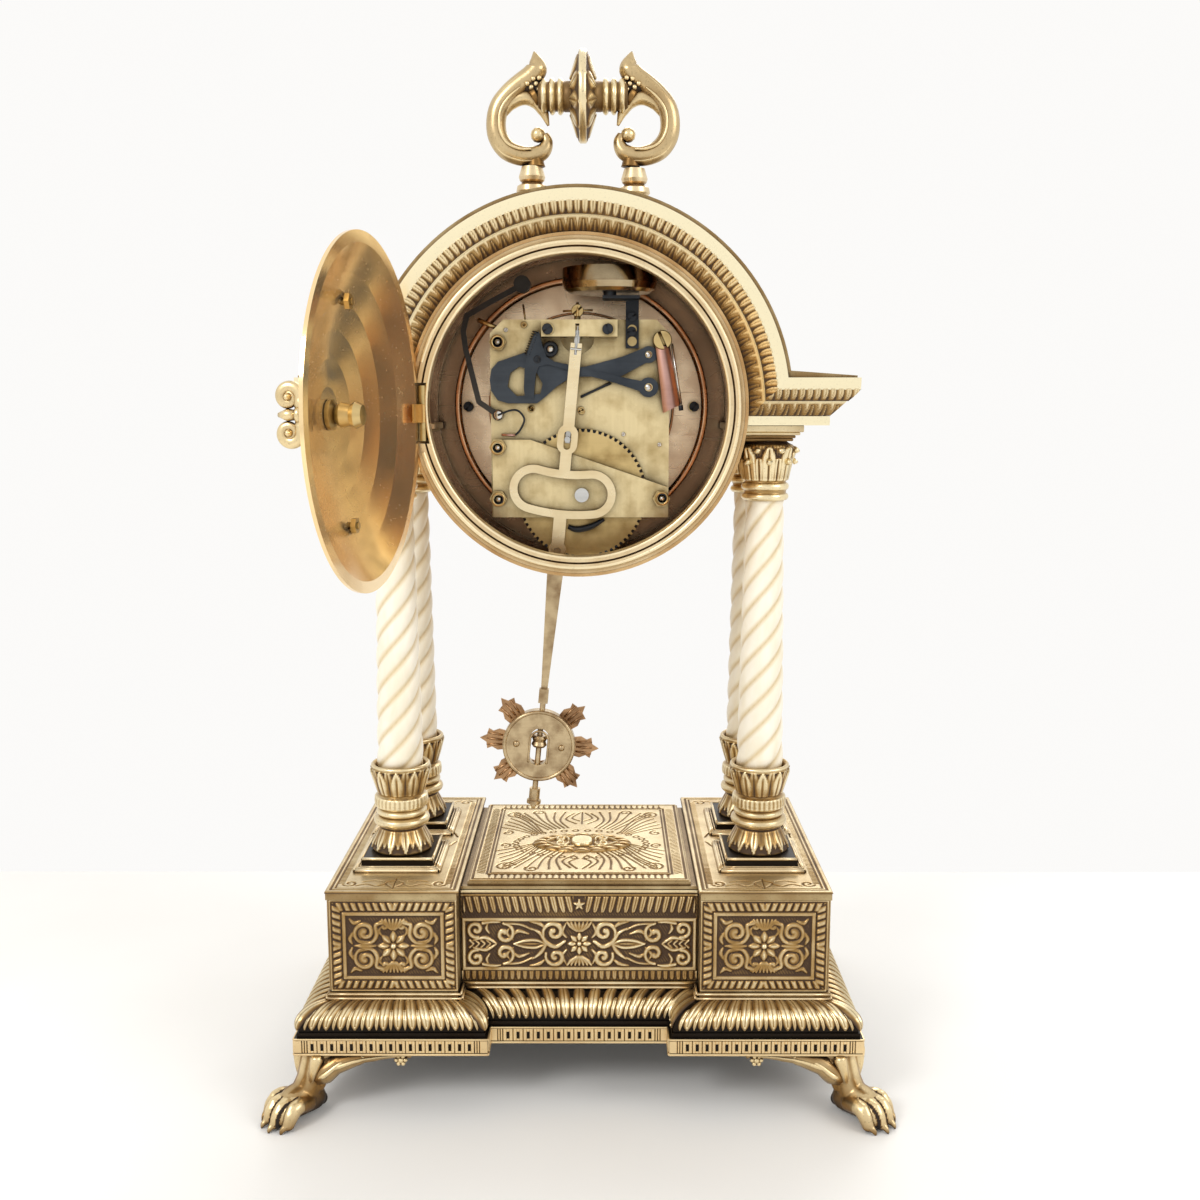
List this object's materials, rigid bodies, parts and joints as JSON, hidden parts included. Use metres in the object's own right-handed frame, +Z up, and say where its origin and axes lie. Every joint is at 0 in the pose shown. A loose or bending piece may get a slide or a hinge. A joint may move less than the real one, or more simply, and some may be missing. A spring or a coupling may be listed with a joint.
{
  "type": "pendulum table clock",
  "caption": "Portico table clock on lion paws, with twisted columns, an arched top with a carrying handle, a drum with a hinged rear door, and a swinging pendulum.",
  "frame": {"origin": "on the surface the clock stands on, under the middle of its base", "axes": "+X to the right as seen from the rear, +Y towards the dial, +Z up; rest is with the rear door open and the pendulum leaning to -X"},
  "size_m": [0.2494, 0.2479, 0.4187],
  "materials": {
    "case_brass": "cast and gilt, dark patina in the recesses",
    "drum_brass": "patterned sheet outside, bright inside",
    "door_brass": "mirror polished",
    "column_resin": "ivory coloured, satin, antiqued in the grooves",
    "dial_enamel": "cream, semi-gloss",
    "clear_glass": "clear, polished",
    "plate_brass": "brushed, pale",
    "steel": "bright turned",
    "blued_steel": "blued, satin",
    "bell_metal": "dull, turned",
    "pendulum_brass": "tarnished, silvery brown",
    "black_steel": "black, satin"
  },
  "bodies": {
    "case": {"base_plinth": "case_brass", "bottom_cover": "black_steel", "pedestal_left": "case_brass", "pedestal_right": "case_brass", "centre_box": "case_brass", "side_plates": "case_brass", "centre_top_plate": "case_brass", "top_medallion": "case_brass", "column_plinths": "case_brass", "column_bases": "case_brass", "column_capitals": "case_brass", "column_tie_rods": "steel", "cornice_rear": "case_brass", "cornice_front": "case_brass", "arch_roof": "case_brass", "drum_shell": "drum_brass", "rear_ring": "drum_brass", "dial_pan": "drum_brass", "dial": "dial_enamel", "handle_feet": "case_brass", "handle_scroll_left": "case_brass", "handle_scroll_right": "case_brass", "handle_bar": "case_brass", "movement_back_plate": "plate_brass", "movement_front_plate": "plate_brass", "movement_pillars": "steel", "barrel_bridge": "plate_brass", "suspension_cock": "plate_brass", "bell": "bell_metal", "bell_strap": "blued_steel", "movement_screws": "steel", "frame_hinges": "drum_brass", "paw_foot_rear_left": "case_brass", "column_shaft_rear_left": "column_resin", "paw_foot_rear_right": "case_brass", "column_shaft_rear_right": "column_resin", "paw_foot_front_left": "case_brass", "column_shaft_front_left": "column_resin", "paw_foot_front_right": "case_brass", "column_shaft_front_right": "column_resin"},
    "rear_door": {"rear_door": "door_brass", "door_leaf": "drum_brass", "door_knob": "case_brass", "door_fittings": "drum_brass"},
    "bezel": {"bezel": "drum_brass", "dial_glass": "clear_glass"},
    "pendulum": {"pendulum_leader": "pendulum_brass", "suspension_spring": "steel", "pendulum_rod": "pendulum_brass"},
    "bob": {"pendulum_bob": "pendulum_brass", "bob_sunburst": "pendulum_brass"},
    "rating_nut": {"rating_nut": "pendulum_brass"},
    "crutch": {"crutch": "blued_steel"},
    "great_wheel": {"great_wheel": "plate_brass"},
    "winding_arbor": {"winding_arbor": "steel"},
    "strike_rack": {"strike_rack": "blued_steel"},
    "rack_lever": {"rack_lever": "blued_steel"},
    "bell_hammer": {"bell_hammer": "blued_steel"},
    "minute_hand": {"minute_hand": "black_steel"},
    "hour_hand": {"hour_hand": "black_steel"}
  },
  "joints": [
    {"name": "rear_door_hinge", "type": "hinge", "parent": "case", "child": "rear_door", "pos_m": [-0.0596, -0.0448, 0.2752], "axis": [0, 0, 1], "range_deg": [-12, 98]},
    {"name": "bezel_hinge", "type": "hinge", "parent": "case", "child": "bezel", "pos_m": [-0.0626, 0.0452, 0.2774], "axis": [0, 0, 1], "range_deg": [0, 100]},
    {"name": "pendulum_swing", "type": "hinge", "parent": "case", "child": "pendulum", "pos_m": [-0.0008, -0.012, 0.307], "axis": [0, -1, 0], "range_deg": [-2, 13.2]},
    {"name": "crutch_swing", "type": "hinge", "parent": "case", "child": "crutch", "pos_m": [-0.0008, -0.012, 0.307], "axis": [0, -1, 0], "range_deg": [-2, 13.2]},
    {"name": "bob_slide", "type": "slide", "parent": "pendulum", "child": "bob", "axis": [0.0974, 0, 0.9952], "range_m": [-0.0029, 0.0029]},
    {"name": "rating_nut_spin", "type": "hinge", "parent": "bob", "child": "rating_nut", "pos_m": [-0.01744, -0.012, 0.13701], "axis": [0.0974, 0, 0.9952], "range_deg": [-2160, 2160]},
    {"name": "winding_turn", "type": "hinge", "parent": "case", "child": "winding_arbor", "pos_m": [0.0008, 0, 0.2415], "axis": [0, -1, 0], "range_deg": [0, 2700]},
    {"name": "minute_turn", "type": "hinge", "parent": "case", "child": "minute_hand", "pos_m": [0, 0, 0.2774], "axis": [0, -1, 0], "continuous": true},
    {"name": "hour_turn", "type": "hinge", "parent": "case", "child": "hour_hand", "pos_m": [0, 0, 0.2774], "axis": [0, -1, 0], "continuous": true},
    {"name": "great_wheel_turn", "type": "hinge", "parent": "case", "child": "great_wheel", "pos_m": [0.0008, 0, 0.2415], "axis": [0, -1, 0], "continuous": true},
    {"name": "rack_drop", "type": "hinge", "parent": "case", "child": "strike_rack", "pos_m": [0.0283, -0.0069, 0.2854], "axis": [0, -1, 0], "range_deg": [0, 7]},
    {"name": "lever_lift", "type": "hinge", "parent": "case", "child": "rack_lever", "pos_m": [0.0283, -0.0052, 0.2987], "axis": [0, 1, 0], "range_deg": [0, 3]},
    {"name": "hammer_strike", "type": "hinge", "parent": "case", "child": "bell_hammer", "pos_m": [-0.0339, -0.0054, 0.2741], "axis": [0, 1, 0], "range_deg": [-2, 14]}
  ],
  "couplings": [
    {"joint": "crutch_swing", "follows": "pendulum_swing", "ratio": 1},
    {"joint": "rating_nut_spin", "follows": "bob_slide", "rad_per_m": 12566},
    {"joint": "hour_turn", "follows": "minute_turn", "ratio": 0.083333},
    {"joint": "great_wheel_turn", "follows": "minute_turn", "ratio": 0.041667}
  ]
}
